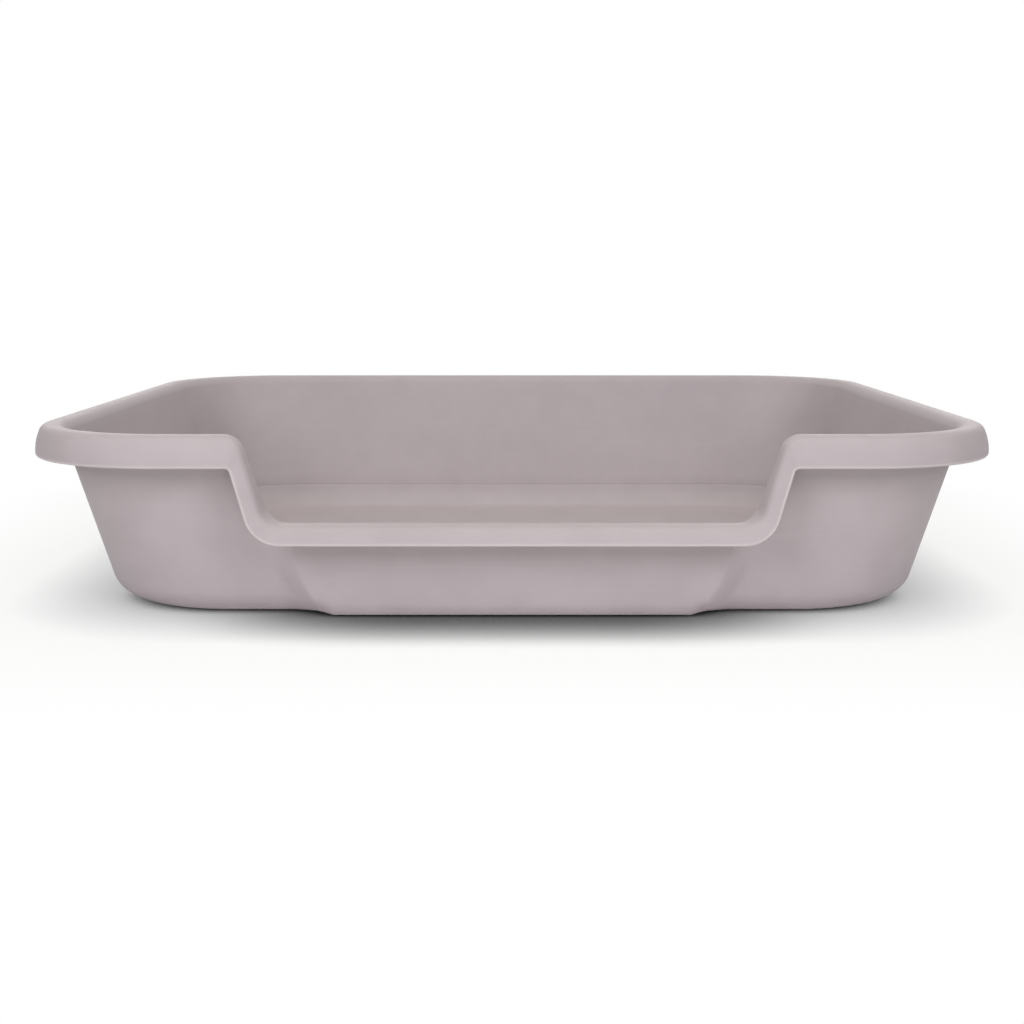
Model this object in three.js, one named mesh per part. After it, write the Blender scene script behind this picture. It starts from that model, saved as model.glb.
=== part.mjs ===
import * as THREE from 'three';

// A large open litter tray for a dog, moulded in one piece of plastic.
// Millimetres, +Z up, the origin on the floor under the middle of the rim.
// The low entry is in the long front wall, which faces -Y.
//
// "Inset" below is a distance inwards from the tray's outermost outline, and
// "drop" is a distance from the crest of the rim towards the skirt's edge.

// Overall sizes
const width = 609.6;
const depth = 508;
const height = 117.2;

// Plastic
const thickness = 2.7;
const skirtEdgeRoundHeight = 2.2;

// Corner radii in plan: at the skirt's edge, the crest, the wall's top and the floor
const edgeCornerRadius = 94.5;
const crestCornerRadius = 88;
const wallCornerRadius = 79;
const floorCornerRadius = 72;

// Rim: a rolled crest with a skirt that is turned down outside the wall. The skirt
// leans outwards where it leaves the roll, and curves until it is upright at its edge.
const outerRollRadius = 5.5;
const innerRollRadius = 8.2;
const crestFlat = 3.5;
const skirtFlareAtRoll = THREE.MathUtils.degToRad(23);
const mainSkirtDrop = 19.4;

// Walls lean outwards as they rise
const wallLean = THREE.MathUtils.degToRad(13.9);
const baseRound = 21.6;

// Entry: the crest dips to the lip, and the skirt follows it as a narrower band
const entryCrestHeight = 63;
const entryHalfWidthAtRim = 161.4;
const entryLean = THREE.MathUtils.degToRad(15.3);
const entrySkirtDrop = 11.5;
const entrySideBand = 10.1;
const crestLowerRadius = 13;
const crestUpperRadius = 12;
const edgeLowerRadius = 21;
const edgeUpperRadius = 2.5;

// Entry panel: the wall under the lip stands forward of the rest. The half widths
// run to the middle of its slanted sides, and "side" is half of a side's width.
const panelForwardAtFloor = 10;
const panelForwardAtLip = 8.5;
const panelHalfWidthAtFloor = 121;
const panelHalfWidthAtLip = 145;
const panelSideAtFloor = 7.5;
const panelSideAtLip = 10.5;
const panelHollowShare = 0.3;
const panelRoundShare = 0.2;
const panelBaseRound = 13;
const panelFootTurnIn = 3.5;

// Half of the front that is meshed with the entry, at the rim and at the floor
const entryReachAtRim = 185;
const entryReachAtFloor = 165;

// Looks
const plasticColour = new THREE.Color('#b2a9ac');
const plasticRoughness = 0.5;
const plasticMetalness = 0;

// How finely the surface is divided
const cornerSteps = 9;
const baseRoundSteps = 5;
const wallSteps = 3;
const innerRollSteps = 4;
const outerRollSteps = 4;
const undersideRollSteps = 3;
const skirtSteps = 3;
const edgeSteps = 2;

const halfWidth = width / 2;
const halfDepth = depth / 2;
const skirtTurn = Math.PI / 2 - skirtFlareAtRoll;
const skirtTopDrop = outerRollRadius * (1 - Math.cos(skirtTurn));
const skirtUprightDrop = mainSkirtDrop - skirtEdgeRoundHeight;
const skirtTopInset = (skirtUprightDrop - skirtTopDrop) * Math.tan(skirtFlareAtRoll) / 2;
const crestInset = skirtTopInset + outerRollRadius * Math.sin(skirtTurn);
const wallTurn = Math.PI / 2 - wallLean;
const wallTopInset = crestInset + crestFlat + innerRollRadius * Math.sin(wallTurn);
const wallTopHeight = height - innerRollRadius * (1 - Math.cos(wallTurn));
const levelThickness = thickness / Math.cos(wallLean);
const floorInset = wallTopInset + wallTopHeight * Math.tan(wallLean);

// The plan's corner radius at an inset
function cornerRadius(inset) {
  const radii = [
    [0, edgeCornerRadius], [crestInset, crestCornerRadius],
    [wallTopInset, wallCornerRadius], [floorInset, floorCornerRadius],
  ];
  const next = Math.max(1, radii.findIndex(([reach]) => inset < reach));
  const [end, endRadius] = inset < floorInset ? radii[next] : radii[radii.length - 1];
  const [start, startRadius] = inset < floorInset ? radii[next - 1] : radii[radii.length - 2];
  return THREE.MathUtils.mapLinear(inset, start, end, startRadius, endRadius);
}

// A panel side's share of its full step: hollow at first, then straight, then rounded
function sideShare(across) {
  const steepness = 1 / (1 - (panelHollowShare + panelRoundShare) / 2);
  if (across < panelHollowShare) {
    return steepness * across ** 2 / panelHollowShare / 2;
  }
  if (across > 1 - panelRoundShare) {
    return 1 - steepness * (1 - across) ** 2 / panelRoundShare / 2;
  }
  return steepness * (across - panelHollowShare / 2);
}

// How far the entry panel stands forward at a place on the front wall
function panelForward(x, z) {
  const rise = Math.min(z / entryCrestHeight, 1);
  const spread = 1 - (1 - rise) ** 2;
  const side = THREE.MathUtils.lerp(panelSideAtFloor, panelSideAtLip, spread);
  const middle = THREE.MathUtils.lerp(panelHalfWidthAtFloor, panelHalfWidthAtLip, spread);
  const across = THREE.MathUtils.clamp((1 + (middle - Math.abs(x)) / side) / 2, 0, 1);
  return sideShare(across) * THREE.MathUtils.lerp(panelForwardAtFloor, panelForwardAtLip, rise);
}

// Inset of the wall's inner face at a height
function innerWallInset(station, x, z) {
  const straight = wallTopInset + (wallTopHeight - z) * Math.tan(wallLean);
  return station.front ? straight - panelForward(x, z) : straight;
}

// Two straight levels joined by a leaning side, as five curves from the middle outwards
function dippedPath(sideAtRim, lowLevel, highLevel, lowRadius, highRadius) {
  const sideAt = (z) => sideAtRim - (height - z) * Math.tan(entryLean);
  const shortening = Math.tan((Math.PI / 2 - entryLean) / 2);
  const lowX = sideAt(lowLevel) - lowRadius * shortening;
  const highX = sideAt(highLevel) + highRadius * shortening;
  const lowArc = new THREE.EllipseCurve(
    lowX, lowLevel + lowRadius, lowRadius, lowRadius, -Math.PI / 2, -entryLean, false);
  const highArc = new THREE.EllipseCurve(
    highX, highLevel - highRadius, highRadius, highRadius, Math.PI - entryLean, Math.PI / 2, true);
  return {
    low: new THREE.LineCurve(new THREE.Vector2(0, lowLevel), lowArc.getPoint(0)),
    lowArc,
    side: new THREE.LineCurve(lowArc.getPoint(1), highArc.getPoint(0)),
    highArc,
    high: new THREE.LineCurve(highArc.getPoint(1), new THREE.Vector2(entryReachAtRim, highLevel)),
  };
}

const crestPath = dippedPath(
  entryHalfWidthAtRim, entryCrestHeight, height, crestLowerRadius, crestUpperRadius);
const edgePath = dippedPath(
  entryHalfWidthAtRim + entrySideBand / Math.cos(entryLean), entryCrestHeight - entrySkirtDrop,
  height - mainSkirtDrop, edgeLowerRadius, edgeUpperRadius);

// Stretches of the entry, from the middle outwards: the crest's curve and the
// shares of it that the stretch runs between, the same for the skirt's edge,
// where the stretch ends at the floor as a share of the reach there, and steps
const entryStretches = [
  { crest: 'low', crestShares: [0, 0.73], edge: 'low', edgeShares: [0, 0.73], floorShare: 0.48, steps: 3 },
  { crest: 'low', crestShares: [0.73, 0.93], edge: 'low', edgeShares: [0.73, 0.93], floorShare: 0.64, steps: 3 },
  { crest: 'low', crestShares: [0.93, 1], edge: 'low', edgeShares: [0.93, 1], floorShare: 0.7, steps: 4 },
  { crest: 'lowArc', crestShares: [0, 1], edge: 'lowArc', edgeShares: [0, 1], floorShare: 0.87, steps: 6 },
  { crest: 'side', crestShares: [0, 0.78], edge: 'side', edgeShares: [0, 1], floorShare: 0.945, steps: 2 },
  { crest: 'side', crestShares: [0.78, 0.95], edge: 'highArc', edgeShares: [0, 0.33], floorShare: 0.96, steps: 1 },
  { crest: 'highArc', crestShares: [0, 1], edge: 'highArc', edgeShares: [0.33, 1], floorShare: 0.985, steps: 7 },
  { crest: 'high', crestShares: [0, 1], edge: 'high', edgeShares: [0, 1], floorShare: 1, steps: 1 },
];

// The entry's half of the front, from the middle outwards
function entryStations() {
  const stations = [{
    front: true,
    crest: crestPath.low.getPoint(0),
    inward: new THREE.Vector2(0, -1),
    edge: edgePath.low.getPoint(0),
    floorX: 0,
  }];
  let floorStart = 0;
  for (const stretch of entryStretches) {
    const floorEnd = stretch.floorShare * entryReachAtFloor;
    for (let step = 1; step <= stretch.steps; step += 1) {
      const share = step / stretch.steps;
      const crestShare = THREE.MathUtils.lerp(...stretch.crestShares, share);
      const edgeShare = THREE.MathUtils.lerp(...stretch.edgeShares, share);
      const along = crestPath[stretch.crest].getTangent(crestShare);
      stations.push({
        front: true,
        crest: crestPath[stretch.crest].getPoint(crestShare),
        inward: new THREE.Vector2(along.y, -along.x),
        edge: edgePath[stretch.edge].getPoint(edgeShare),
        floorX: THREE.MathUtils.lerp(floorStart, floorEnd, share),
      });
    }
    floorStart = floorEnd;
  }
  return stations;
}

// The same place on the other side of the middle
function mirrored(station) {
  const flip = (spot) => new THREE.Vector2(-spot.x, spot.y);
  return {
    front: true,
    crest: flip(station.crest),
    inward: flip(station.inward),
    edge: flip(station.edge),
    floorX: -station.floorX,
  };
}

// A quarter turn of the plan round one corner, at any inset
function cornerStations(sideX, sideY, startAngle) {
  const stations = [];
  for (let step = 0; step <= cornerSteps; step += 1) {
    const angle = startAngle + (step / cornerSteps) * Math.PI / 2;
    stations.push({
      front: false,
      plan: (inset) => {
        const radius = cornerRadius(inset);
        const x = sideX * (halfWidth - inset - radius) + radius * Math.cos(angle);
        const y = sideY * (halfDepth - inset - radius) + radius * Math.sin(angle);
        return [x, y];
      },
    });
  }
  return stations;
}

// All stations, once round the tray from the middle of the front towards +X
function allStations() {
  const right = entryStations();
  const left = right.slice(1).map(mirrored).reverse();
  return [
    ...right,
    ...cornerStations(1, -1, -Math.PI / 2),
    ...cornerStations(1, 1, 0),
    ...cornerStations(-1, 1, Math.PI / 2),
    ...cornerStations(-1, -1, Math.PI),
    ...left,
  ];
}

// A point of the rolled rim, by its inset and its drop from the crest
function rimPoint(station, inset, drop) {
  if (!station.front) {
    const [x, y] = station.plan(inset);
    return new THREE.Vector3(x, y, height - drop);
  }
  const spot = station.crest.clone().addScaledVector(station.inward, drop);
  return new THREE.Vector3(spot.x, inset - halfDepth, spot.y);
}

// A point of the skirt, which runs from the outer roll to the skirt's edge
function skirtPoint(station, inset, drop) {
  if (!station.front) {
    return rimPoint(station, inset, drop);
  }
  const start = station.crest.clone().addScaledVector(station.inward, skirtTopDrop);
  const length = station.crest.distanceTo(station.edge) - skirtTopDrop;
  const spot = start.lerp(station.edge, (drop - skirtTopDrop) / length);
  return new THREE.Vector3(spot.x, inset - halfDepth, spot.y);
}

// A point of the wall or floor, by its inset, height and place along the front
function lowPoint(station, inset, x, z) {
  if (!station.front) {
    const [planX, planY] = station.plan(inset);
    return new THREE.Vector3(planX, planY, z);
  }
  return new THREE.Vector3(x, inset - halfDepth, z);
}

// How the inner roll meets the wall at a station: the turn and the roll's start
function rollFit(station) {
  const inset = (drop) => {
    const spot = rimPoint(station, 0, drop);
    return innerWallInset(station, spot.x, spot.z);
  };
  const near = inset(innerRollRadius);
  const far = inset(innerRollRadius + thickness);
  const turn = Math.PI / 2 - Math.atan2(far - near, thickness);
  const start = inset(innerRollRadius * (1 - Math.cos(turn))) - innerRollRadius * Math.sin(turn);
  return { turn, start: Math.max(start, crestInset + crestFlat) };
}

// How the bottom's rounding meets the wall at a station. The panel is narrower at the
// floor than just above it: there the rounding reaches further in, by "reach".
function baseFit(station) {
  const x = station.front ? station.floorX : 0;
  const forward = station.front ? panelForward(Math.abs(x) + panelFootTurnIn, 0) : 0;
  const radius = THREE.MathUtils.lerp(baseRound, panelBaseRound, forward / panelForwardAtFloor);
  const inset = (z) => innerWallInset(station, x, z) - levelThickness;
  const turn = Math.PI / 2 - Math.atan2(inset(0) - inset(radius), radius);
  const top = radius * (1 - Math.cos(turn));
  const reach = station.front ? panelForward(x, top) - forward : 0;
  return { x, radius, turn, reach, flatInset: inset(top) + radius * Math.sin(turn) };
}

// Points of the wall between the rim and the bottom's rounding, ends left out
function wallPoints(station, from, to, extraInset) {
  const points = [];
  for (let step = 1; step < wallSteps; step += 1) {
    const spot = from.clone().lerp(to, step / wallSteps);
    const inset = innerWallInset(station, spot.x, spot.z) - extraInset;
    points.push(lowPoint(station, inset, spot.x, spot.z));
  }
  return points;
}

// The section at one station, from the floor over the rim to the underside
function section(station) {
  const roll = rollFit(station);
  const base = baseFit(station);
  const fullDrop = station.front ? station.crest.distanceTo(station.edge) : mainSkirtDrop;
  const baseArc = (radius, share) => {
    const angle = share * base.turn;
    const lowness = 1 - Math.sin(angle) / Math.sin(base.turn);
    const inset = base.flatInset - radius * Math.sin(angle) + base.reach * lowness;
    return lowPoint(station, inset, base.x, base.radius - radius * Math.cos(angle));
  };
  const innerArc = (radius, share) => {
    const angle = share * roll.turn;
    const inset = roll.start + radius * Math.sin(angle);
    return rimPoint(station, inset, innerRollRadius - radius * Math.cos(angle));
  };
  const outerArc = (radius, share) => {
    const angle = share * skirtTurn;
    const inset = crestInset - radius * Math.sin(angle);
    return rimPoint(station, inset, outerRollRadius - radius * Math.cos(angle));
  };
  const skirtInset = (drop) => {
    const above = Math.max(skirtUprightDrop - drop, 0) / (skirtUprightDrop - skirtTopDrop);
    return skirtTopInset * above ** 2;
  };
  const edgeDrop = fullDrop - skirtEdgeRoundHeight;
  const skirtRow = (step, extraInset) => {
    const drop = THREE.MathUtils.lerp(skirtTopDrop, edgeDrop, step / skirtSteps);
    return skirtPoint(station, skirtInset(drop) + extraInset, drop);
  };
  const points = [];

  for (let step = 0; step <= baseRoundSteps; step += 1) {
    points.push(baseArc(base.radius - thickness, step / baseRoundSteps));
  }
  const innerTop = innerArc(innerRollRadius, 1);
  points.push(...wallPoints(station, points[points.length - 1], innerTop, 0));
  for (let step = innerRollSteps; step >= 0; step -= 1) {
    points.push(innerArc(innerRollRadius, step / innerRollSteps));
  }
  for (let step = 0; step <= outerRollSteps; step += 1) {
    points.push(outerArc(outerRollRadius, step / outerRollSteps));
  }
  for (let step = 1; step < skirtSteps; step += 1) {
    points.push(skirtRow(step, 0));
  }
  for (let step = 0; step <= edgeSteps * 2; step += 1) {
    const angle = (step / (edgeSteps * 2)) * Math.PI;
    const drop = edgeDrop + skirtEdgeRoundHeight * Math.sin(angle);
    const inset = skirtInset(drop) + thickness / 2 * (1 - Math.cos(angle));
    points.push(skirtPoint(station, inset, drop));
  }
  for (let step = skirtSteps - 1; step > 0; step -= 1) {
    points.push(skirtRow(step, thickness));
  }
  for (let step = undersideRollSteps; step >= 0; step -= 1) {
    points.push(outerArc(outerRollRadius - thickness, step / undersideRollSteps));
  }
  for (let step = 0; step <= undersideRollSteps; step += 1) {
    points.push(innerArc(innerRollRadius - thickness, step / undersideRollSteps));
  }
  const outerTop = points[points.length - 1];
  const outerFoot = baseArc(base.radius, 1);
  points.push(...wallPoints(station, outerTop, outerFoot, levelThickness));
  for (let step = baseRoundSteps; step >= 0; step -= 1) {
    points.push(baseArc(base.radius, step / baseRoundSteps));
  }
  return points;
}

// Joins the sections all round, and closes the floor and the underside
function trayGeometry() {
  const sections = allStations().map(section);
  const rows = sections[0].length;
  const positions = [];
  const indices = [];
  for (const points of sections) {
    for (const point of points) {
      positions.push(point.x, point.y, point.z);
    }
  }
  const floorMiddle = positions.length / 3;
  positions.push(0, 0, thickness);
  const undersideMiddle = floorMiddle + 1;
  positions.push(0, 0, 0);
  for (let i = 0; i < sections.length; i += 1) {
    const here = i * rows;
    const next = ((i + 1) % sections.length) * rows;
    indices.push(floorMiddle, here, next);
    indices.push(undersideMiddle, next + rows - 1, here + rows - 1);
    for (let row = 0; row < rows - 1; row += 1) {
      indices.push(here + row, here + row + 1, next + row + 1);
      indices.push(here + row, next + row + 1, next + row);
    }
  }
  const geometry = new THREE.BufferGeometry();
  geometry.setAttribute('position', new THREE.Float32BufferAttribute(positions, 3));
  geometry.setIndex(indices);
  geometry.computeVertexNormals();
  return geometry;
}

const plastic = new THREE.MeshStandardMaterial({
  color: plasticColour,
  roughness: plasticRoughness,
  metalness: plasticMetalness,
});

const tray = new THREE.Mesh(trayGeometry(), plastic);
tray.name = 'tray';

const litterTray = new THREE.Group();
litterTray.add(tray);

export default litterTray;
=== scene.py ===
import math

import bpy
import numpy as np
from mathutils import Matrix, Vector


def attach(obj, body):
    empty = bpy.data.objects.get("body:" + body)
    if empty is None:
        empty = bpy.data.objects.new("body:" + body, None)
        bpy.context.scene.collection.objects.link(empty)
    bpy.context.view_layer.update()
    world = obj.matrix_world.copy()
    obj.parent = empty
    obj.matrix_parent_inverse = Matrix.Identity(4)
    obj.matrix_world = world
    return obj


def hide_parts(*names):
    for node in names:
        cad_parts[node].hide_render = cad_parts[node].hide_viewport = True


# A large open litter tray for a dog, moulded in one piece of plastic.
# The tray's sizes are the frame's own, in millimetres, and become metres in the mesh.
# "Inset" is a distance inwards from the tray's outermost outline, and "drop" is a
# distance from the crest of the rim towards the skirt's edge.

MM = 0.001

# Overall sizes
WIDTH = 609.6
DEPTH = 508.0
HEIGHT = 117.2

# Wall of the moulding
THICKNESS = 2.7
SKIRT_EDGE_ROUND_HEIGHT = 2.2

# Corner radii in plan: at the skirt's edge, the crest, the wall's top and the floor
EDGE_CORNER_RADIUS = 94.5
CREST_CORNER_RADIUS = 88.0
WALL_CORNER_RADIUS = 79.0
FLOOR_CORNER_RADIUS = 72.0

# Rim
OUTER_ROLL_RADIUS = 5.5
INNER_ROLL_RADIUS = 8.2
CREST_FLAT = 3.5
SKIRT_FLARE_AT_ROLL = math.radians(23)
MAIN_SKIRT_DROP = 19.4

# Walls
WALL_LEAN = math.radians(13.9)
BASE_ROUND = 21.6
CREASE_RISE = 3.0
CREASE_DEPTH = 0.25
CREASE_WIDTH = 1.3

# Entry
ENTRY_CREST_HEIGHT = 63.0
ENTRY_HALF_WIDTH_AT_RIM = 161.4
ENTRY_LEAN = math.radians(15.3)
ENTRY_SKIRT_DROP = 11.5
ENTRY_SIDE_BAND = 10.1
CREST_LOWER_RADIUS = 13.0
CREST_UPPER_RADIUS = 12.0
EDGE_LOWER_RADIUS = 21.0
EDGE_UPPER_RADIUS = 2.5

# Entry panel
PANEL_FORWARD_AT_FLOOR = 10.0
PANEL_FORWARD_AT_LIP = 8.5
PANEL_HALF_WIDTH_AT_FLOOR = 121.0
PANEL_HALF_WIDTH_AT_LIP = 145.0
PANEL_SIDE_AT_FLOOR = 7.5
PANEL_SIDE_AT_LIP = 10.5
PANEL_HOLLOW_SHARE = 0.3
PANEL_ROUND_SHARE = 0.2
PANEL_BASE_ROUND = 13.0
PANEL_FOOT_TURN_IN = 3.5

# How far the entry's stations reach along the front, from the middle
ENTRY_REACH_AT_RIM = 185.0
ENTRY_REACH_AT_FLOOR = 165.0

# How finely the surface is divided
CORNER_STEPS = 28
BASE_ROUND_STEPS = 12
WALL_STEPS = 14
INNER_ROLL_STEPS = 12
OUTER_ROLL_STEPS = 12
UNDERSIDE_ROLL_STEPS = 8
SKIRT_STEPS = 5
EDGE_STEPS = 12
FLOOR_RINGS = 6

# The camera: its place in metres, how far it looks down, and its focal length in pixels
# of the frame's width
FRAME_PIXELS = 1024
FOCAL_PIXELS = 1432.0
SENSOR_WIDTH = 36.0
CAMERA_PLACE = (0.0, -1.084, 0.2117)
CAMERA_PITCH = math.radians(9.52)
CAMERA_CLIP = (0.05, 50)

# Softboxes: name, place and size in metres, watts and colour
WHITE = (1.0, 1.0, 1.0)
WARM = (1.0, 0.985, 0.87)
SOFTBOX_TARGET = (0, 0, 0.05)
SOFTBOXES = [
    ("left_softbox", (-1.11, -1.59, 1.03), (0.9, 0.9), 16.1, WHITE),
    ("right_softbox", (1.11, -1.59, 1.03), (0.9, 0.9), 14.6, WHITE),
    ("low_softbox", (0, -1.4, 0.1), (1.2, 0.2), 2, WHITE),
    ("high_softbox", (0, -1.17, 1.87), (0.9, 0.9), 3, WHITE),
    ("top_softbox", (0, 0, 2.2), (2.0, 1.6), 19, WARM),
    ("back_left_softbox", (-0.85, 1.74, 1.03), (0.9, 0.9), 6.5, WHITE),
    ("back_right_softbox", (0.85, 1.74, 1.03), (0.9, 0.9), 6.5, WHITE),
]
WORLD_STRENGTH = 0.04

# Plastic: the two base colours between which it is mottled, in sRGB of 0 to 255
PLASTIC_DARKER = (180, 170, 174)
PLASTIC_PALER = (186, 176, 180)

# Coats over the base colour, in order: colour, and how much it covers at most
COATS = {
    "streaks": ((198, 189, 191), 0.15),
    "scuffs": ((198, 189, 191), 0.25),
    # Painted light: the floor and the foot, the lowest few millimetres, made paler as if more lit
    "painted_floor_light": ((202, 192, 194), 0.48),
    "specks": ((226, 219, 220), 0.5),
    # Painted highlight: paler along the lit outer side of the skirt's edge
    "painted_edge_highlight": ((226, 217, 219), 0.45),
    # Painted shade: darker at the bottom of the groove above the floor's rounding
    "crease": ((140, 131, 134), 0.45),
}

# Noises: squeeze along each axis, repeats per metre, detail and roughness
NOISES = {
    "broad": ((1, 1, 1), 9, 2, 0.5),
    "cloudy": ((1, 1, 1), 45, 3, 0.5),
    "flow": ((6, 6, 60), 3, 4, 0.6),
    "streaks": ((5, 5, 330), 1.6, 3, 0.6),
    "scratches": ((14, 170, 60), 2.2, 5, 0.65),
    "grain": ((1, 1, 1), 1900, 2, 0.5),
    "orange_peel": ((1, 1, 1), 260, 2, 0.5),
}

# Noise values between which a ramp rises: over all of a noise, or at its peaks alone
WHOLE_NOISE = (0.3, 0.7)
STREAK_PEAKS = (0.56, 0.72)
SCRATCH_PEAKS = (0.66, 0.74)

# How far each noise moves the mottling's tone to either side
BROAD_TONE = 0.35
CLOUDY_TONE = 0.4
FLOW_TONE = 0.12

# Specks: cells per metre, the cell values from which a cell has a speck, and the soft
# radius of a speck as a share of its cell
SPECK_CELLS = 34.0
SPECK_RARITY = (0.90, 0.91)
SPECK_RADII = (0.012, 0.03)

# Heights above the ground in metres over which scuffs and the painted light on the floor
# and foot fade upwards, the scuffs that are left above, and the least painted light
SCUFF_HEIGHTS = (0.004, 0.05)
SCUFFS_ABOVE = 0.15
PAINTED_LIGHT_HEIGHTS = (0.002, 0.007)
LEAST_PAINTED_LIGHT = 0.75

# The surface's relief and finish
GRAIN_RELIEF = 0.6
SCUFF_RELIEF = 0.5
BUMP_STRENGTH = 0.12
BUMP_DISTANCE = 0.0004
ROUGHNESS_RANGE = (0.52, 0.6)
SCUFF_ROUGHNESS = 0.12
SPECULAR_LEVEL = 0.15

# Floor: sizes and reaches are in metres. The tray's shadow is painted into the colour it
# shows the camera, deepest below the tray's middle; the light it returns fades far out at
# the sides, and it is plain white to the camera away from the tray.
FLOOR_HALF_SIZE = 6.0
FLOOR_WHITE = 0.97
FLOOR_FAR_WHITE = 0.4
RETURN_REACH = (0.32, 0.6)
SHADE_REACH = 0.07
SHADE_POWER = (2.0, 0.6)
SHADE_POWER_REACH = (0.06, 0.22)
PLAIN_SHARE = (0.77, 1.0)
PLAIN_REACH = (0.0, 0.2)
SHADE_SAMPLES = 6

HALF_WIDTH = WIDTH / 2
HALF_DEPTH = DEPTH / 2
SKIRT_TURN = math.pi / 2 - SKIRT_FLARE_AT_ROLL
SKIRT_TOP_DROP = OUTER_ROLL_RADIUS * (1 - math.cos(SKIRT_TURN))
SKIRT_UPRIGHT_DROP = MAIN_SKIRT_DROP - SKIRT_EDGE_ROUND_HEIGHT
SKIRT_TOP_INSET = (SKIRT_UPRIGHT_DROP - SKIRT_TOP_DROP) * math.tan(SKIRT_FLARE_AT_ROLL) / 2
CREST_INSET = SKIRT_TOP_INSET + OUTER_ROLL_RADIUS * math.sin(SKIRT_TURN)
WALL_TURN = math.pi / 2 - WALL_LEAN
WALL_TOP_INSET = CREST_INSET + CREST_FLAT + INNER_ROLL_RADIUS * math.sin(WALL_TURN)
WALL_TOP_HEIGHT = HEIGHT - INNER_ROLL_RADIUS * (1 - math.cos(WALL_TURN))
LEVEL_THICKNESS = THICKNESS / math.cos(WALL_LEAN)
FLOOR_INSET = WALL_TOP_INSET + WALL_TOP_HEIGHT * math.tan(WALL_LEAN)


def mix(start, end, share):
    """The value a share of the way from start to end."""
    return start + (end - start) * share


def shares_of(steps):
    """The shares from 0 to 1 that divide a stretch into equal steps."""
    return [step / steps for step in range(steps + 1)]


def corner_radius(inset):
    """The plan's corner radius at an inset."""
    places = [0, CREST_INSET, WALL_TOP_INSET, FLOOR_INSET]
    radii = [EDGE_CORNER_RADIUS, CREST_CORNER_RADIUS, WALL_CORNER_RADIUS, FLOOR_CORNER_RADIUS]
    if inset <= FLOOR_INSET:
        return float(np.interp(inset, places, radii))
    slope = (radii[3] - radii[2]) / (places[3] - places[2])
    return radii[3] + (inset - places[3]) * slope


def panel_forward(x, z):
    """How far the entry panel stands forward at a place on the front wall."""
    rise = min(z / ENTRY_CREST_HEIGHT, 1)
    spread = 1 - (1 - rise) ** 2
    side = mix(PANEL_SIDE_AT_FLOOR, PANEL_SIDE_AT_LIP, spread)
    middle = mix(PANEL_HALF_WIDTH_AT_FLOOR, PANEL_HALF_WIDTH_AT_LIP, spread)
    across = min(max((1 + (middle - abs(x)) / side) / 2, 0), 1)
    steepness = 1 / (1 - (PANEL_HOLLOW_SHARE + PANEL_ROUND_SHARE) / 2)
    if across < PANEL_HOLLOW_SHARE:
        share = steepness * across ** 2 / PANEL_HOLLOW_SHARE / 2
    elif across > 1 - PANEL_ROUND_SHARE:
        share = 1 - steepness * (1 - across) ** 2 / PANEL_ROUND_SHARE / 2
    else:
        share = steepness * (across - PANEL_HOLLOW_SHARE / 2)
    return share * mix(PANEL_FORWARD_AT_FLOOR, PANEL_FORWARD_AT_LIP, rise)


def inner_wall_inset(station, x, z):
    """Inset of the wall's inner face at a height."""
    straight = WALL_TOP_INSET + (WALL_TOP_HEIGHT - z) * math.tan(WALL_LEAN)
    return straight - panel_forward(x, z) if station["front"] else straight


def line(start, end):
    """A straight stretch: a function from a share to a point and a tangent."""
    start, end = np.array(start, float), np.array(end, float)
    along = (end - start) / np.linalg.norm(end - start)
    return lambda share: (mix(start, end, share), along)


def arc(centre, radius, start, end):
    """A round stretch: a function from a share to a point and a tangent."""
    turn = math.copysign(1, end - start)

    def at(share):
        angle = mix(start, end, share)
        outwards = np.array([math.cos(angle), math.sin(angle)])
        return np.array(centre) + radius * outwards, turn * np.array([-outwards[1], outwards[0]])

    return at


def dipped_path(side_at_rim, low_level, high_level, low_radius, high_radius):
    """Two straight levels joined by a leaning side: five stretches from the middle outwards."""
    def side_at(z):
        return side_at_rim - (HEIGHT - z) * math.tan(ENTRY_LEAN)

    shortening = math.tan((math.pi / 2 - ENTRY_LEAN) / 2)
    low_x = side_at(low_level) - low_radius * shortening
    high_x = side_at(high_level) + high_radius * shortening
    low_arc = arc((low_x, low_level + low_radius), low_radius, -math.pi / 2, -ENTRY_LEAN)
    high_arc = arc(
        (high_x, high_level - high_radius), high_radius, math.pi - ENTRY_LEAN, math.pi / 2)
    return {
        "low": line((0, low_level), low_arc(0)[0]),
        "low_arc": low_arc,
        "side": line(low_arc(1)[0], high_arc(0)[0]),
        "high_arc": high_arc,
        "high": line(high_arc(1)[0], (ENTRY_REACH_AT_RIM, high_level)),
    }


CREST_PATH = dipped_path(
    ENTRY_HALF_WIDTH_AT_RIM, ENTRY_CREST_HEIGHT, HEIGHT,
    CREST_LOWER_RADIUS, CREST_UPPER_RADIUS)
EDGE_PATH = dipped_path(
    ENTRY_HALF_WIDTH_AT_RIM + ENTRY_SIDE_BAND / math.cos(ENTRY_LEAN),
    ENTRY_CREST_HEIGHT - ENTRY_SKIRT_DROP, HEIGHT - MAIN_SKIRT_DROP,
    EDGE_LOWER_RADIUS, EDGE_UPPER_RADIUS)

# Stretches of the entry from the middle outwards: the crest's stretch and the shares
# of it, the same for the skirt's edge, the end at the floor as a share, and steps
ENTRY_STRETCHES = [
    ("low", (0, 0.73), "low", (0, 0.73), 0.48, 8),
    ("low", (0.73, 0.93), "low", (0.73, 0.93), 0.64, 12),
    ("low", (0.93, 1), "low", (0.93, 1), 0.7, 10),
    ("low_arc", (0, 1), "low_arc", (0, 1), 0.87, 24),
    ("side", (0, 0.78), "side", (0, 1), 0.945, 12),
    ("side", (0.78, 0.95), "high_arc", (0, 0.33), 0.96, 5),
    ("high_arc", (0.17, 1), "high_arc", (0.33, 1), 0.985, 20),
    ("high", (0, 1), "high", (0, 1), 1, 4),
]


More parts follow.
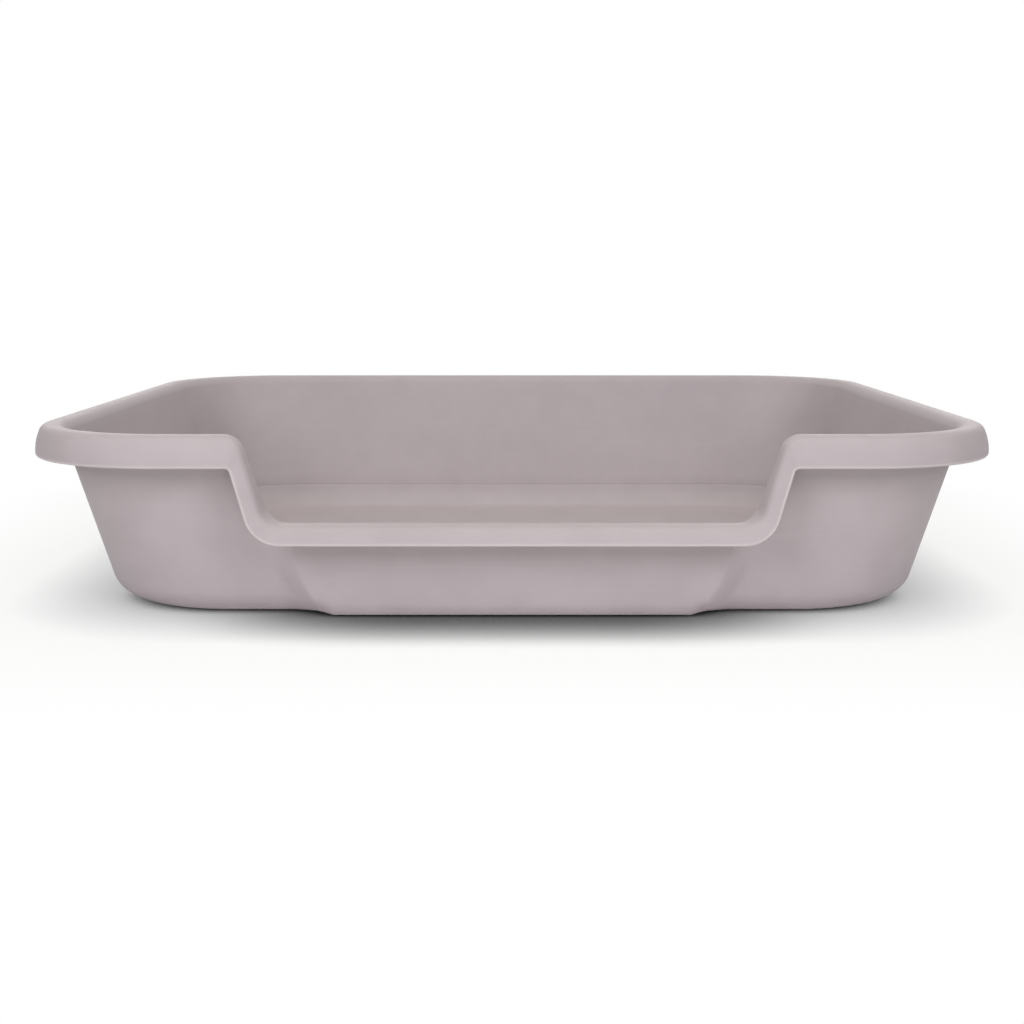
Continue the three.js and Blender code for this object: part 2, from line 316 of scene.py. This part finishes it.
def entry_stations():
    """The entry's half of the front, from the middle outwards."""
    stations = [{
        "front": True, "crest": CREST_PATH["low"](0)[0], "inward": np.array([0.0, -1.0]),
        "edge": EDGE_PATH["low"](0)[0], "floor_x": 0.0,
    }]
    floor_start = 0
    for crest, crest_shares, edge, edge_shares, floor_share, steps in ENTRY_STRETCHES:
        floor_end = floor_share * ENTRY_REACH_AT_FLOOR
        for share in shares_of(steps)[1:]:
            spot, along = CREST_PATH[crest](mix(*crest_shares, share))
            stations.append({
                "front": True,
                "crest": spot,
                "inward": np.array([along[1], -along[0]]),
                "edge": EDGE_PATH[edge](mix(*edge_shares, share))[0],
                "floor_x": mix(floor_start, floor_end, share),
            })
        floor_start = floor_end
    return stations


def mirrored(station):
    """The same place on the other side of the middle."""
    flip = np.array([-1.0, 1.0])
    return {
        "front": True, "crest": station["crest"] * flip, "inward": station["inward"] * flip,
        "edge": station["edge"] * flip, "floor_x": -station["floor_x"],
    }


def corner_stations(side_x, side_y, start_angle):
    """A quarter turn of the plan round one corner. Each station's plan takes an inset."""
    def plan_at(angle):
        def plan(inset):
            radius = corner_radius(inset)
            x = side_x * (HALF_WIDTH - inset - radius) + radius * math.cos(angle)
            y = side_y * (HALF_DEPTH - inset - radius) + radius * math.sin(angle)
            return x, y
        return plan

    turns = [start_angle + share * math.pi / 2 for share in shares_of(CORNER_STEPS)]
    return [{"front": False, "plan": plan_at(angle)} for angle in turns]


def all_stations():
    """All stations, once round the tray from the middle of the front towards +X."""
    right = entry_stations()
    left = [mirrored(station) for station in right[1:]][::-1]
    corners = (
        corner_stations(1, -1, -math.pi / 2) + corner_stations(1, 1, 0)
        + corner_stations(-1, 1, math.pi / 2) + corner_stations(-1, -1, math.pi))
    return right + corners + left


def rim_point(station, inset, drop):
    """A point of the rolled rim, by its inset and its drop from the crest."""
    if not station["front"]:
        return np.array([*station["plan"](inset), HEIGHT - drop])
    x, z = station["crest"] + station["inward"] * drop
    return np.array([x, inset - HALF_DEPTH, z])


def skirt_point(station, inset, drop):
    """A point of the skirt, which runs from the outer roll to the skirt's edge."""
    if not station["front"]:
        return rim_point(station, inset, drop)
    start = station["crest"] + station["inward"] * SKIRT_TOP_DROP
    length = np.linalg.norm(station["edge"] - station["crest"]) - SKIRT_TOP_DROP
    x, z = mix(start, station["edge"], (drop - SKIRT_TOP_DROP) / length)
    return np.array([x, inset - HALF_DEPTH, z])


def low_point(station, inset, x, z):
    """A point of the wall or floor, by its inset, height and place along the front."""
    if not station["front"]:
        return np.array([*station["plan"](inset), z])
    return np.array([x, inset - HALF_DEPTH, z])


def roll_fit(station):
    """How the inner roll meets the wall at a station: the turn and the roll's start."""
    def inset(drop):
        spot = rim_point(station, 0, drop)
        return inner_wall_inset(station, spot[0], spot[2])

    near, far = inset(INNER_ROLL_RADIUS), inset(INNER_ROLL_RADIUS + THICKNESS)
    turn = math.pi / 2 - math.atan2(far - near, THICKNESS)
    start = inset(INNER_ROLL_RADIUS * (1 - math.cos(turn))) - INNER_ROLL_RADIUS * math.sin(turn)
    return turn, max(start, CREST_INSET + CREST_FLAT)


def base_fit(station):
    """How the bottom's rounding meets the wall at a station: place, radius, turn, reach and
    inset. The panel is narrower at the floor than just above it: there the rounding reaches
    further in."""
    x = station["floor_x"] if station["front"] else 0
    forward = panel_forward(abs(x) + PANEL_FOOT_TURN_IN, 0) if station["front"] else 0
    radius = mix(BASE_ROUND, PANEL_BASE_ROUND, forward / PANEL_FORWARD_AT_FLOOR)

    def inset(z):
        return inner_wall_inset(station, x, z) - LEVEL_THICKNESS

    turn = math.pi / 2 - math.atan2(inset(0) - inset(radius), radius)
    top = radius * (1 - math.cos(turn))
    reach = panel_forward(x, top) - forward if station["front"] else 0
    return x, radius, turn, reach, inset(top) + radius * math.sin(turn)


def wall_points(station, start, end, extra_inset):
    """Points of the wall between the rim and the bottom's rounding, ends left out."""
    points = []
    for share in shares_of(WALL_STEPS)[1:-1]:
        spot = mix(start, end, share)
        inset = inner_wall_inset(station, spot[0], spot[2]) - extra_inset
        points.append(low_point(station, inset, spot[0], spot[2]))
    return points


def crease_points(foot, above):
    """A fine moulded groove in the wall, just above the floor's rounding."""
    along = (above - foot) / np.linalg.norm(above - foot)
    inwards = np.array([-foot[0], -foot[1], 0.0])
    inwards -= along * inwards.dot(along)
    inwards /= np.linalg.norm(inwards)
    low = foot + along * CREASE_RISE
    high = low + along * CREASE_WIDTH
    deep = (low + high) / 2 - inwards * CREASE_DEPTH
    return [low, deep, high]


def section(station):
    """The section at one station, from the floor over the rim to the underside, and each
    point's share of painted highlight along the skirt's edge and of painted shade in the groove."""
    turn, roll_start = roll_fit(station)
    base_x, base_radius, base_turn, base_reach, flat_inset = base_fit(station)
    full_drop = MAIN_SKIRT_DROP
    if station["front"]:
        full_drop = np.linalg.norm(station["edge"] - station["crest"])

    def base_arc(radius, share):
        angle = share * base_turn
        lowness = 1 - math.sin(angle) / math.sin(base_turn)
        inset = flat_inset - radius * math.sin(angle) + base_reach * lowness
        return low_point(station, inset, base_x, base_radius - radius * math.cos(angle))

    def inner_arc(radius, share):
        angle = share * turn
        inset = roll_start + radius * math.sin(angle)
        return rim_point(station, inset, INNER_ROLL_RADIUS - radius * math.cos(angle))

    def outer_arc(radius, share):
        angle = share * SKIRT_TURN
        inset = CREST_INSET - radius * math.sin(angle)
        return rim_point(station, inset, OUTER_ROLL_RADIUS - radius * math.cos(angle))

    def skirt_inset(drop):
        """The skirt leans out below the roll, and curves until it is upright at its edge."""
        above = max(SKIRT_UPRIGHT_DROP - drop, 0) / (SKIRT_UPRIGHT_DROP - SKIRT_TOP_DROP)
        return SKIRT_TOP_INSET * above ** 2

    edge_drop = full_drop - SKIRT_EDGE_ROUND_HEIGHT

    def skirt_points(extra_inset):
        drops = [mix(SKIRT_TOP_DROP, edge_drop, share) for share in shares_of(SKIRT_STEPS)[1:-1]]
        return [skirt_point(station, skirt_inset(drop) + extra_inset, drop) for drop in drops]

    base_shares = shares_of(BASE_ROUND_STEPS)
    foot = [base_arc(base_radius - THICKNESS, share) for share in base_shares]
    inner_shares = reversed(shares_of(INNER_ROLL_STEPS))
    inner_roll = [inner_arc(INNER_ROLL_RADIUS, share) for share in inner_shares]
    crease = crease_points(foot[-1], wall_points(station, foot[-1], inner_roll[0], 0)[0])
    wall = wall_points(station, crease[-1], inner_roll[0], 0)
    outer_roll = [outer_arc(OUTER_ROLL_RADIUS, share) for share in shares_of(OUTER_ROLL_STEPS)]

    edge = []
    edge_shares = []
    for share in shares_of(EDGE_STEPS):
        angle = share * math.pi
        drop = edge_drop + SKIRT_EDGE_ROUND_HEIGHT * math.sin(angle)
        inset = skirt_inset(drop) + THICKNESS / 2 * (1 - math.cos(angle))
        edge.append(skirt_point(station, inset, drop))
        # Painted highlight: most halfway round the edge's outer rounding, none from its lowest
        # point inwards
        edge_shares.append(max(math.sin(2 * angle), 0))

    under_shares = shares_of(UNDERSIDE_ROLL_STEPS)
    under = [outer_arc(OUTER_ROLL_RADIUS - THICKNESS, share) for share in reversed(under_shares)]
    under += [inner_arc(INNER_ROLL_RADIUS - THICKNESS, share) for share in under_shares]
    outer_foot = [base_arc(base_radius, share) for share in reversed(base_shares)]
    outer_wall = wall_points(station, under[-1], outer_foot[0], LEVEL_THICKNESS)

    before = foot + crease + wall + inner_roll + outer_roll + skirt_points(0)
    after = skirt_points(THICKNESS)[::-1] + under + outer_wall + outer_foot
    highlight_shares = [0] * len(before) + edge_shares + [0] * len(after)
    crease_shade_shares = [0] * (len(before) + len(edge) + len(after))
    # Painted shade at the groove's deepest point
    crease_shade_shares[len(foot) + 1] = 1
    return before + edge + after, highlight_shares, crease_shade_shares


def tray_mesh():
    """Joins the sections all round, and closes the floor and the underside with rings."""
    made = [section(station) for station in all_stations()]
    columns = len(made)
    rows = len(made[0][0])
    grid = np.array([points for points, _, _ in made])
    # Shares of painted highlight along the skirt's edge
    rim = np.array([share for _, share, _ in made])
    # Shares of painted shade in the groove
    crease = np.array([share for _, _, share in made])
    verts = [grid.reshape(-1, 3)]
    shares = [np.stack([rim.reshape(-1), crease.reshape(-1)], axis=1)]
    faces = []
    for i in range(columns):
        here, there = i * rows, (i + 1) % columns * rows
        faces += [(here + r, here + r + 1, there + r + 1, there + r) for r in range(rows - 1)]

    def close(border, level, flip):
        """Rings that shrink towards the middle, ending in a fan."""
        last = border
        count = sum(len(v) for v in verts)
        ring = np.concatenate(verts)[border]
        for share in shares_of(FLOOR_RINGS)[1:-1]:
            verts.append(ring * [1 - share, 1 - share, 1])
            shares.append(np.zeros((columns, 2)))
            new = list(range(count, count + columns))
            count += columns
            for i in range(columns):
                j = (i + 1) % columns
                quad = (last[i], last[j], new[j], new[i])
                faces.append(quad[::-1] if flip else quad)
            last = new
        verts.append(np.array([[0.0, 0.0, level]]))
        shares.append(np.zeros((1, 2)))
        for i in range(columns):
            j = (i + 1) % columns
            tri = (last[i], last[j], count)
            faces.append(tri[::-1] if flip else tri)

    close([i * rows for i in range(columns)], THICKNESS, False)
    close([i * rows + rows - 1 for i in range(columns)], 0.0, True)
    mesh = bpy.data.meshes.new("tray_shell")
    mesh.from_pydata((np.concatenate(verts) * MM).tolist(), [], faces)
    mesh.validate()
    mesh.shade_smooth()
    values = np.concatenate(shares)
    # Attributes for the painted highlight on the skirt's edge and the painted shade in the groove
    for index, name in enumerate(("painted_edge_highlight", "crease")):
        attribute = mesh.attributes.new(name, "FLOAT", "POINT")
        attribute.data.foreach_set("value", values[:, index].astype(np.float32))
    mesh.update()
    return mesh


class Nodes:
    """The node tree of a material or world, with short calls to add and join nodes."""

    def __init__(self, owner, output_kind):
        owner.use_nodes = True
        self.tree = owner.node_tree
        self.tree.nodes.clear()
        self.output = self.tree.nodes.new(output_kind)

    def add(self, kind, links=None, **settings):
        """Adds a node. Each setting is a property, or else the value of an input socket."""
        node = self.tree.nodes.new(kind)
        for name, value in settings.items():
            if hasattr(node, name):
                setattr(node, name, value)
            else:
                node.inputs[name.replace("_", " ")].default_value = value
        for name, source in (links or {}).items():
            self.join(source, node.inputs[name])
        return node

    def join(self, source, target):
        self.tree.links.new(source, target)

    def fill(self, socket, value):
        """Joins the socket to another one, or gives it a plain value."""
        if isinstance(value, bpy.types.NodeSocket):
            self.join(value, socket)
        else:
            socket.default_value = value

    def math(self, operation, first, second=None):
        node = self.add("ShaderNodeMath", operation=operation)
        self.fill(node.inputs[0], first)
        if second is not None:
            self.fill(node.inputs[1], second)
        return node.outputs[0]

    def ramp(self, source, low, high, to_low=0.0, to_high=1.0):
        """A smooth rise or fall of the source from low to high."""
        node = self.add("ShaderNodeMapRange", interpolation_type="SMOOTHSTEP")
        for socket, value in zip(node.inputs, (source, low, high, to_low, to_high)):
            self.fill(socket, value)
        return node.outputs[0]

    def vector_math(self, operation, first, second=None, output="Vector"):
        node = self.add("ShaderNodeVectorMath", operation=operation)
        self.fill(node.inputs[0], first)
        if second is not None:
            self.fill(node.inputs[1], second)
        return node.outputs[output]

    def noise(self, place, squeeze, repeats, detail, roughness):
        squeezed = self.add("ShaderNodeMapping", {"Vector": place}, Scale=squeeze).outputs[0]
        node = self.add(
            "ShaderNodeTexNoise", {"Vector": squeezed},
            Scale=repeats, Detail=detail, Roughness=roughness)
        return node.outputs["Fac"]

    def blend(self, share, first, second):
        """A colour between two colours. A mix node's colour sockets have the names of its
        plain ones and come after them, so they are taken by their numbers."""
        node = self.add("ShaderNodeMix", data_type="RGBA")
        for index, value in ((0, share), (6, first), (7, second)):
            self.fill(node.inputs[index], value)
        return node.outputs[2]

    def mix_shader(self, share, first, second):
        node = self.add("ShaderNodeMixShader")
        for socket, source in zip(node.inputs, (share, first, second)):
            self.join(source, socket)
        return node.outputs[0]

    def seen(self):
        """One for the rays of a view: the camera's own, and those in gloss or through glass."""
        path = self.add("ShaderNodeLightPath").outputs
        either = self.math("MAXIMUM", path["Is Camera Ray"], path["Is Glossy Ray"])
        return self.math("MAXIMUM", either, path["Is Transmission Ray"])


def linear(r, g, b):
    """An sRGB colour of 0 to 255 as linear light."""
    def channel(v):
        v /= 255
        return v / 12.92 if v <= 0.04045 else ((v + 0.055) / 1.055) ** 2.4
    return (channel(r), channel(g), channel(b), 1.0)


def plastic_material():
    """Satin pinkish grey plastic: faint mottling, streaks, fine grain, scuffs and specks, with
    painted light on the floor and foot, a painted highlight along the skirt's edge and painted
    shade in the groove.
    """
    material = bpy.data.materials.new("tray_plastic")
    n = Nodes(material, "ShaderNodeOutputMaterial")
    place = n.add("ShaderNodeTexCoord").outputs["Object"]
    level = n.add("ShaderNodeSeparateXYZ", {"Vector": place}).outputs["Z"]
    noise = {name: n.noise(place, *values) for name, values in NOISES.items()}

    def swing(name, amount):
        """A noise as a tone that swings to either side of zero."""
        return n.ramp(noise[name], *WHOLE_NOISE, -amount, amount)

    tone = n.math("ADD", swing("broad", BROAD_TONE), swing("cloudy", CLOUDY_TONE))
    tone = n.math("ADD", tone, swing("flow", FLOW_TONE))
    colour = n.blend(n.ramp(tone, -1, 1), linear(*PLASTIC_DARKER), linear(*PLASTIC_PALER))

    scratches = n.ramp(noise["scratches"], *SCRATCH_PEAKS)
    scuffs = n.math("MULTIPLY", scratches, n.ramp(level, *SCUFF_HEIGHTS, 1, SCUFFS_ABOVE))
    patchy = n.ramp(noise["cloudy"], *WHOLE_NOISE, LEAST_PAINTED_LIGHT, 1)
    cells = n.add("ShaderNodeTexVoronoi", {"Vector": place}, Scale=SPECK_CELLS).outputs
    cell_value = n.add("ShaderNodeSeparateColor", {"Color": cells["Color"]}).outputs[0]
    shares = {
        "streaks": n.ramp(noise["streaks"], *STREAK_PEAKS),
        "scuffs": scuffs,
        # Painted light: paler over the lowest few millimetres, the tray's floor and foot, in
        # patches
        "painted_floor_light": n.math("MULTIPLY", n.ramp(level, *PAINTED_LIGHT_HEIGHTS, 1, 0), patchy),
        "specks": n.math(
            "MULTIPLY", n.ramp(cells["Distance"], *SPECK_RADII, 1, 0),
            n.ramp(cell_value, *SPECK_RARITY)),
        # Painted highlight along the lit outer side of the skirt's edge
        "painted_edge_highlight": n.add("ShaderNodeAttribute", attribute_name="painted_edge_highlight").outputs["Fac"],
        # Painted shade at the bottom of the groove
        "crease": n.add("ShaderNodeAttribute", attribute_name="crease").outputs["Fac"],
    }
    for name, (coat, cover) in COATS.items():
        colour = n.blend(n.math("MULTIPLY", shares[name], cover), colour, linear(*coat))

    relief = n.math(
        "ADD", n.math("MULTIPLY", noise["grain"], GRAIN_RELIEF), noise["orange_peel"])
    relief = n.math("SUBTRACT", relief, n.math("MULTIPLY", scuffs, SCUFF_RELIEF))
    bump = n.add(
        "ShaderNodeBump", {"Height": relief}, Strength=BUMP_STRENGTH, Distance=BUMP_DISTANCE)

    rough = n.ramp(noise["cloudy"], *WHOLE_NOISE, *ROUGHNESS_RANGE)
    rough = n.math("ADD", rough, n.math("MULTIPLY", scuffs, SCUFF_ROUGHNESS))
    shader = n.add(
        "ShaderNodeBsdfPrincipled",
        {"Base Color": colour, "Roughness": rough, "Normal": bump.outputs["Normal"]},
        Specular_IOR_Level=SPECULAR_LEVEL)
    n.join(shader.outputs[0], n.output.inputs["Surface"])
    return material


def floor_material():
    """A matt white floor with the tray's soft shadow painted in, plain white to the camera further
    out.
    """
    material = bpy.data.materials.new("studio_floor")
    n = Nodes(material, "ShaderNodeOutputMaterial")
    place = n.add("ShaderNodeTexCoord").outputs["Object"]
    beside = n.vector_math(
        "SUBTRACT", n.vector_math("ABSOLUTE", place), (HALF_WIDTH * MM, HALF_DEPTH * MM, 0))
    outside = n.vector_math("MAXIMUM", beside)
    away = n.vector_math("LENGTH", outside, output="Value")
    aside = n.math("ABSOLUTE", n.add("ShaderNodeSeparateXYZ", {"Vector": place}).outputs["X"])
    seen = n.seen()

    # Painted shadow: the floor's openness, raised to a power that is highest below the tray's
    # middle, darkens the colour the camera sees
    openness = n.add(
        "ShaderNodeAmbientOcclusion", samples=SHADE_SAMPLES, Distance=SHADE_REACH)
    painted_shadow = n.math("POWER", openness.outputs["AO"], n.ramp(aside, *SHADE_POWER_REACH, *SHADE_POWER))
    unseen = n.math("SUBTRACT", 1.0, seen)
    returned = n.math(
        "MULTIPLY", unseen, n.ramp(aside, *RETURN_REACH, FLOOR_WHITE, FLOOR_FAR_WHITE))
    seen_matt = n.math("MULTIPLY", n.math("MULTIPLY", painted_shadow, FLOOR_WHITE), seen)
    matt = n.add("ShaderNodeBsdfDiffuse", {"Color": n.math("ADD", returned, seen_matt)})
    plain = n.add("ShaderNodeEmission", {"Color": painted_shadow}, Strength=1.0)
    plain_share = n.math("MULTIPLY", seen, n.ramp(away, *PLAIN_REACH, *PLAIN_SHARE))
    n.join(
        n.mix_shader(plain_share, matt.outputs[0], plain.outputs[0]), n.output.inputs["Surface"])
    return material


def make_world():
    """Even pale surroundings, seen as plain white."""
    world = bpy.data.worlds.new("studio")
    bpy.context.scene.world = world
    n = Nodes(world, "ShaderNodeOutputWorld")
    lighting = n.add("ShaderNodeBackground", Color=(1, 1, 1, 1), Strength=WORLD_STRENGTH)
    white = n.add("ShaderNodeBackground", Color=(1, 1, 1, 1), Strength=1.0)
    n.join(
        n.mix_shader(n.seen(), lighting.outputs[0], white.outputs[0]), n.output.inputs["Surface"])


def add_object(name, data):
    """An object in the scene."""
    made = bpy.data.objects.new(name, data)
    bpy.context.scene.collection.objects.link(made)
    return made


def add_softbox(name, place, size, watts, colour):
    """A rectangular lamp that faces the tray."""
    light = bpy.data.lights.new(name, "AREA")
    light.shape = "RECTANGLE"
    light.color = colour
    light.size, light.size_y = size
    light.energy = watts
    lamp = add_object(name, light)
    lamp.location = place
    towards = Vector(SOFTBOX_TARGET) - Vector(place)
    lamp.rotation_euler = towards.to_track_quat("-Z", "Y").to_euler()


def add_camera():
    """The camera in front of the tray, slightly above it and looking slightly down."""
    data = bpy.data.cameras.new("camera")
    data.sensor_width = SENSOR_WIDTH
    data.lens = FOCAL_PIXELS / FRAME_PIXELS * SENSOR_WIDTH
    data.clip_start, data.clip_end = CAMERA_CLIP
    camera = add_object("camera", data)
    camera.location = CAMERA_PLACE
    camera.rotation_euler = (math.pi / 2 - CAMERA_PITCH, 0, 0)
    bpy.context.scene.camera = camera


def add_floor():
    """The studio's floor."""
    mesh = bpy.data.meshes.new("studio_floor")
    half = FLOOR_HALF_SIZE
    corners = [(-half, -half, 0), (half, -half, 0), (half, half, 0), (-half, half, 0)]
    mesh.from_pydata(corners, [], [(0, 1, 2, 3)])
    floor = add_object("studio_floor", mesh)
    floor.data.materials.append(floor_material())


def add_tray():
    """The tray, in place of the frame's plainer one."""
    tray = add_object("tray_shell", tray_mesh())
    tray.data.materials.append(plastic_material())
    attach(tray, "root")
    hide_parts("tray")


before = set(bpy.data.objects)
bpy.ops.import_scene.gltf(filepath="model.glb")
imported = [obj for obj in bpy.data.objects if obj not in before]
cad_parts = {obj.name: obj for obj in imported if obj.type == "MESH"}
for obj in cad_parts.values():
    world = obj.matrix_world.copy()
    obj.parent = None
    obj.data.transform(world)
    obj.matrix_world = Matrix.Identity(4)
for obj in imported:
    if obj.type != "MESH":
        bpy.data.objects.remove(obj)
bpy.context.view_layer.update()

bpy.context.scene.view_settings.view_transform = "Standard"
make_world()
add_camera()
add_floor()
add_tray()
for softbox in SOFTBOXES:
    add_softbox(*softbox)
